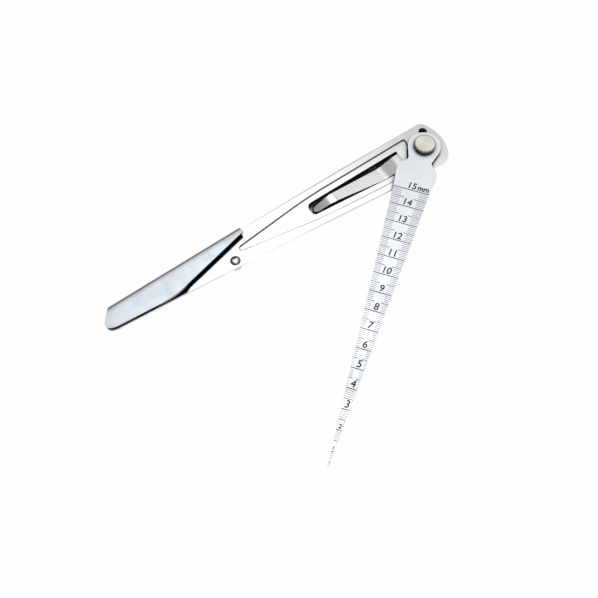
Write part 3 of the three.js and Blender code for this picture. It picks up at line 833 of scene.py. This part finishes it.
class GAUGE_OT_lines(bpy.types.Operator):
    """Graduation lines across the blade"""

    bl_idname = "gauge.lines"
    bl_label = "Scale lines"

    def execute(self, context):
        sizes = context.scene.gauge_scale
        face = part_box("gauge_blade")[1].z
        turn = blade_turn()
        bpy.ops.mesh.primitive_cube_add(size=1, location=(0, 0, 0))
        pattern = bpy.context.object
        depth = sizes.ink + sizes.root
        marks = []

        def mark(reading, width, start, end):
            """A line at a reading, between two places across the blade."""
            run = sizes.zero_run - sizes.taper * reading * MM
            copy = pattern.copy()
            copy.data = pattern.data.copy()
            middle = (run, (start + end) / 2, face + sizes.ink - depth / 2)
            size = Matrix.Diagonal((width, end - start, depth, 1))
            copy.data.transform(turn @ Matrix.Translation(middle) @ size)
            context.scene.collection.objects.link(copy)
            marks.append(copy)

        for tenth in range(sizes.last_tenth, 10 * sizes.readings + 1):
            reading = tenth / 10
            edge = reading * MM / 2 - sizes.edge
            if tenth % 10 == 0:
                mark(reading, sizes.line, -edge, edge)
                continue
            half = tenth % 5 == 0
            width = sizes.half_line if half else sizes.tick
            beside_number = tenth % 10 < 5 and tenth > 10
            if reading < sizes.fine_below and not beside_number:
                mark(reading, width, -edge, edge)
                continue
            bare = sizes.half_gap if half else sizes.tick_share
            if beside_number and reading < sizes.short_below:
                bare = sizes.small_share
            inner = reading * MM / 2 * bare
            mark(reading, width, -edge, -inner)
            mark(reading, width, inner, edge)
        bpy.data.objects.remove(pattern)
        lines = join("scale_lines", marks)
        paint(lines, {"mark": mark_material(context.scene.gauge_looks.mark)}, lambda face: "mark")
        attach(lines, "blade")
        return {"FINISHED"}


class GAUGE_OT_numbers(bpy.types.Operator):
    """Numbers and the unit on the blade"""

    bl_idname = "gauge.numbers"
    bl_label = "Scale numbers"

    def execute(self, context):
        scale = context.scene.gauge_scale
        sizes = context.scene.gauge_numbers
        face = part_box("gauge_blade")[1].z
        turn = blade_turn() @ Matrix.Rotation(math.pi / 2, 4, "Z")
        depth = scale.ink + scale.root
        written = []

        def write(text, reading, height, weight, middle=None, span=None):
            """Text over a reading's line, about a middle place or between two places."""
            bpy.ops.object.text_add(location=(0, 0, 0))
            words = bpy.context.object
            words.data.body = text
            words.data.extrude = sizes.block
            words.data.bevel_depth = weight
            words.data.bevel_resolution = 0
            words.data.shear = sizes.lean
            words.data.resolution_u = 6
            activate(words)
            bpy.ops.object.convert(target="MESH")
            words = bpy.context.object
            points = [v.co for v in words.data.vertices]
            low = Vector([min(p[i] for p in points) for i in range(3)])
            high = Vector([max(p[i] for p in points) for i in range(3)])
            tall = height / (high.y - low.y)
            wide = tall * sizes.narrow
            if span:
                wide = (span[1] - span[0]) / (high.x - low.x)
                middle = (span[0] + span[1]) / 2
            deep = depth / (high.z - low.z)
            run = scale.zero_run - scale.taper * reading * MM - sizes.above - scale.line / 2
            words.data.transform(Matrix.Translation((-(low.x + high.x) / 2, -low.y, -high.z)))
            words.data.transform(Matrix.Diagonal((wide, tall, deep, 1)))
            words.data.transform(Matrix.Translation((middle, -run, face + scale.ink)))
            words.data.transform(turn)
            written.append(words)

        heights = {1: sizes.height_one, 2: sizes.height_two}
        for reading in range(1, scale.readings + 1):
            if reading in heights:
                write(str(reading), reading, heights[reading], sizes.small_weight, middle=0.0)
            else:
                write(str(reading), reading, sizes.height, sizes.weight, middle=sizes.aside)
        unit = (sizes.unit_start, sizes.unit_end)
        write("mm", scale.readings, sizes.unit_height, sizes.small_weight, span=unit)
        numbers = join("scale_numbers", written)
        paint(numbers, {"mark": bpy.data.materials["etched_black"]}, lambda face: "mark")
        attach(numbers, "blade")
        return {"FINISHED"}


class GAUGE_OT_screw(bpy.types.Operator):
    """Knurled thumb screw"""

    bl_idname = "gauge.screw"
    bl_label = "Thumb screw"

    def execute(self, context):
        sizes = context.scene.gauge_screw
        looks = context.scene.gauge_looks
        low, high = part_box("thumb_screw")
        crest = high.x
        flank = crest - sizes.flank * sizes.tooth
        base = high.z - sizes.height
        tooth_radii = [crest, flank, crest - sizes.tooth, flank]
        broken_radii = [radius - sizes.chamfer for radius in tooth_radii]
        face = crest - sizes.rim
        tip = sizes.shank - sizes.lead
        bpy.ops.mesh.primitive_circle_add(
            vertices=PER_TOOTH * sizes.teeth, radius=tip, location=(0, 0, 0), fill_type="NOTHING"
        )
        screw = named("knurled_screw")
        start = Matrix.Translation((0, 0, low.z)) @ Matrix.Rotation(-math.pi / 2, 4, "Z")
        screw.data.transform(start)

        def place(point):
            """Where a point stands on its tooth: 0 crest, 1 flank, 2 valley, 3 flank."""
            turn = math.atan2(point.y, point.x) / math.tau
            return round(turn * sizes.teeth * PER_TOOTH) % PER_TOOTH

        def grow(rise, radii):
            """Extrudes the selected ring upwards, to a radius for each place on a tooth."""
            bpy.ops.mesh.extrude_region_move(TRANSFORM_OT_translate={"value": (0, 0, rise)})
            mesh = bmesh.from_edit_mesh(screw.data)
            mesh.verts.index_update()
            ring = {v.index: v.co.xy.length for v in mesh.verts if v.select}
            for kind, radius in enumerate(radii):
                kinds = [v.index for v in mesh.verts if v.select and place(v.co) == kind]
                ratio = radius / ring[kinds[0]]
                choose(screw, "verts", lambda v: v.index in kinds)
                bpy.ops.transform.resize(value=(ratio, ratio, 1), center_override=(0, 0, 0))
                choose(screw, "verts", lambda v: v.index in ring)
                mesh = bmesh.from_edit_mesh(screw.data)
            choose(screw, "edges", lambda e: all(v.index in ring for v in e.verts))

        edit(screw)
        choose(screw, "edges", lambda e: True)
        profile = [
            (low.z + sizes.lead, [sizes.shank] * PER_TOOTH),
            (base, [sizes.shank] * PER_TOOTH),
            (base, broken_radii),
            (base + sizes.chamfer, tooth_radii),
            (high.z - sizes.chamfer, tooth_radii),
            (high.z, broken_radii),
            (high.z, [face] * PER_TOOTH),
            (high.z - sizes.dish, [face - sizes.dish] * PER_TOOTH),
        ]
        now = low.z
        for z, radii in profile:
            grow(z - now, radii)
            now = z
        bpy.ops.mesh.edge_face_add()
        choose(screw, "edges", lambda e: all(abs(v.co.z - low.z) < TOUCH for v in e.verts))
        bpy.ops.mesh.edge_face_add()
        close_up()
        bevel(screw, sizes.bevel, segments=2, limit_method="ANGLE", angle_limit=math.radians(35))
        smooth(screw, 32)
        # The knurl and rim are painted darker than the face: painted shade
        dull = [c * looks.knurl for c in looks.screw]
        materials = {
            "face": steel("turned_face", looks.screw, looks.screw_rough, "rings", {"Rings": 7.0},
                          shade=0.08, bump=0.3),
            "knurl": steel("knurled_edge", dull, looks.screw_rough, "satin", {"Scale": 6.0},
                           shade=0.1, bump=0.1),
        }
        shine = materials["face"].node_tree.nodes["Principled BSDF"]
        shine.inputs["Anisotropic"].default_value = looks.turning

        def zone(part):
            """The turned face inside the rim, or the knurl and all the rest."""
            on_face = part.normal.z > LOOKS_UP and part.center.xy.length < face
            return "face" if on_face else "knurl"

        paint(screw, materials, zone)
        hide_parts("thumb_screw")
        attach(screw, "screw")
        return {"FINISHED"}


class GAUGE_OT_rivet(bpy.types.Operator):
    """Polished dome that holds the folded blade"""

    bl_idname = "gauge.rivet"
    bl_label = "Catch rivet"

    def execute(self, context):
        sizes = context.scene.gauge_rivet
        looks = context.scene.gauge_looks
        low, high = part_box("catch_rivet")
        middle = (low + high) / 2
        radius = (high.x - low.x) / 2
        rise = high.z - sizes.sheet_face
        ball = (radius ** 2 + rise ** 2) / (2 * rise)
        bpy.ops.mesh.primitive_uv_sphere_add(
            segments=64, ring_count=128, radius=ball, location=(0, 0, 0)
        )
        rivet = named("dome_rivet")
        rivet.data.transform(Matrix.Translation((middle.x, middle.y, high.z - ball)))
        edit(rivet)
        centre = (middle.x, middle.y, sizes.sheet_face)
        bpy.ops.mesh.select_all(action="SELECT")
        bpy.ops.mesh.bisect(
            plane_co=centre, plane_no=(0, 0, 1), use_fill=True, clear_inner=True, threshold=MERGE
        )
        choose(rivet, "faces", lambda f: f.normal.z < -LEVEL)
        bpy.ops.mesh.inset(thickness=radius - sizes.shank)
        half = sizes.tail_height / 2

        def extend(rise):
            """Extrudes the selected end of the rivet."""
            bpy.ops.mesh.extrude_region_move(TRANSFORM_OT_translate={"value": (0, 0, rise)})

        def widen(times):
            """Scales the selected end about the rivet's axis."""
            bpy.ops.transform.resize(value=(times, times, 1), center_override=centre)

        extend(low.z + sizes.tail_height - sizes.sheet_face)
        extend(0)
        widen(sizes.tail / sizes.shank)
        extend(-half)
        extend(-half)
        widen(1 - half / sizes.tail)
        close_up()
        smooth(rivet, 30)
        # Painted highlight on the crown and painted shade on the rim, standing in for the dome's
        # reflection
        chrome = steel("polished_dome", looks.chrome, looks.chrome_rough, "crown", {},
                       shade=looks.crown, rough_spread=0.02, bump=0.0, centre=middle)
        paint(rivet, {"chrome": chrome}, lambda face: "chrome")
        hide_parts("catch_rivet")
        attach(rivet, "handle")
        return {"FINISHED"}


class GAUGE_OT_stage(bpy.types.Operator):
    """Floor, softbox, surroundings and camera"""

    bl_idname = "gauge.stage"
    bl_label = "Stage"

    def execute(self, context):
        sizes = context.scene.gauge_stage
        scene = context.scene
        scene.view_settings.view_transform = "Standard"
        floor_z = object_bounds()[0][2] - sizes.floor_gap
        bpy.ops.mesh.primitive_plane_add(size=sizes.floor, location=(0, 0, 0))
        floor = named("floor")
        floor.data.transform(Matrix.Translation((0, 0, floor_z)))
        floor.data.materials.append(self.floor_material(sizes, floor_z))
        floor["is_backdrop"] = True
        self.softbox(sizes)
        self.surroundings(scene, sizes.level)
        bpy.ops.object.camera_add(location=sizes.camera)
        camera = bpy.context.object
        view = Vector(sizes.aim) - Vector(sizes.camera)
        turn = view.to_track_quat("-Z", "Y") @ Quaternion((0, 0, 1), sizes.roll)
        camera.rotation_euler = turn.to_euler()
        camera.data.lens = sizes.lens
        camera.data.clip_start = 0.01
        scene.camera = camera
        return {"FINISHED"}

    def softbox(self, sizes):
        """A lamp that looks down and whose face is as bright as the studio."""
        bpy.ops.object.light_add(type="AREA", location=sizes.lamp)
        lamp = bpy.context.object
        lamp.name = "softbox"
        lamp.data.shape = "RECTANGLE"
        lamp.data.size, lamp.data.size_y = sizes.lamp_size
        lamp.data.energy = sizes.level * math.pi * math.prod(sizes.lamp_size)

    def floor_material(self, sizes, floor_z):
        """White to the eye and in the metal, with a painted shadow where the gauge closes it off
        and a painted shadow spot under the lanyard hole.
        """
        material, tree, surface = new_material("pale_floor")
        fill(tree, surface, {
            "Base Color": (0.9, 0.9, 0.9, 1), "Roughness": 0.9, "Specular IOR Level": 0.0,
        })
        # Painted shadow: the floor's glow is cut where ambient occlusion finds the gauge close
        hidden = add_node(tree, "AmbientOcclusion", {"Distance": sizes.shade_reach}, samples=16)
        open_share = spread(tree, hidden.outputs["AO"], sizes.closed, sizes.opened)
        # Painted shadow spot: a fixed dark disc on the floor under the lanyard hole
        off_hole = add_node(tree, "VectorMath", {
            0: add_node(tree, "TexCoord").outputs["Object"], 1: (*sizes.hole_shade, floor_z),
        }, operation="DISTANCE").outputs["Value"]
        beside_hole = spread(tree, off_hole, sizes.hole_dark, sizes.hole_clear)
        lit = combine(tree, "MULTIPLY", open_share, beside_hole)
        glow = add_node(tree, "Emission", {"Color": (1, 1, 1, 1), "Strength": lit})
        rays = add_node(tree, "LightPath").outputs
        seen = combine(tree, "MAXIMUM", rays["Is Camera Ray"], rays["Is Glossy Ray"])
        seen = combine(tree, "MAXIMUM", seen, rays["Is Transmission Ray"])
        seen = combine(tree, "MULTIPLY", seen, sizes.glow)
        mixed = add_node(tree, "MixShader", {0: seen, 1: surface.outputs[0], 2: glow.outputs[0]})
        tree.links.new(mixed.outputs[0], tree.nodes["Material Output"].inputs["Surface"])
        return material

    def surroundings(self, scene, full):
        """A studio that is white overhead and greyer in front, behind and to the left.

        It dims towards the right far corner, rises again beyond it and glows at the far left.
        """
        world = scene.world or bpy.data.worlds.new("studio")
        scene.world = world
        world.use_nodes = True
        tree = world.node_tree
        way = add_node(tree, "TexCoord").outputs["Generated"]
        axes = add_node(tree, "SeparateXYZ", {0: way}).outputs
        up = combine(tree, "MAXIMUM", axes["Z"], HORIZON)
        across = combine(tree, "DIVIDE", axes["X"], up)
        back_lean = combine(tree, "DIVIDE", axes["Y"], up)
        corner = combine(tree, "ADD", across, back_lean)
        level = spread(tree, corner, *CORNER_DIM)
        level = combine(tree, "ADD", level, spread(tree, corner, *CORNER_RISE))
        for slope, change in ((across, LEFT_DIM), (back_lean, BACK_DIM), (back_lean, FRONT_DIM)):
            level = combine(tree, "MULTIPLY", level, spread(tree, slope, *change))
        level = combine(tree, "MULTIPLY", level, full)
        level = combine(tree, "ADD", level, spread(tree, across, *FAR_LEFT_RISE))
        to_camera = add_node(tree, "LightPath").outputs["Is Camera Ray"]
        fill(tree, tree.nodes["Background"], {
            "Color": (1, 1, 1, 1), "Strength": combine(tree, "MAXIMUM", level, to_camera),
        })


class GAUGE_PT_panel(bpy.types.Panel):
    """Lists the pieces of the gauge"""

    bl_idname = "GAUGE_PT_panel"
    bl_label = "Taper gauge"
    bl_space_type = "VIEW_3D"
    bl_region_type = "UI"
    bl_category = "Taper gauge"

    def draw(self, context):
        for operator in OPERATORS:
            self.layout.operator(operator.bl_idname)


OPERATORS = [
    GAUGE_OT_handle,
    GAUGE_OT_turned,
    GAUGE_OT_blade,
    GAUGE_OT_lines,
    GAUGE_OT_numbers,
    GAUGE_OT_screw,
    GAUGE_OT_rivet,
    GAUGE_OT_stage,
]


def register():
    for group in GROUPS.values():
        bpy.utils.register_class(group)
    for name, group in GROUPS.items():
        setattr(bpy.types.Scene, name, PointerProperty(type=group))
    for kind in [*OPERATORS, GAUGE_PT_panel]:
        bpy.utils.register_class(kind)


def unregister():
    for kind in [GAUGE_PT_panel, *reversed(OPERATORS)]:
        bpy.utils.unregister_class(kind)
    for name, group in GROUPS.items():
        delattr(bpy.types.Scene, name)
        bpy.utils.unregister_class(group)


def main():
    register()
    bpy.ops.gauge.handle()
    bpy.ops.gauge.turned()
    bpy.ops.gauge.blade()
    bpy.ops.gauge.lines()
    bpy.ops.gauge.numbers()
    bpy.ops.gauge.screw()
    bpy.ops.gauge.rivet()
    bpy.ops.gauge.stage()


if __name__ == "__main__":
    main()
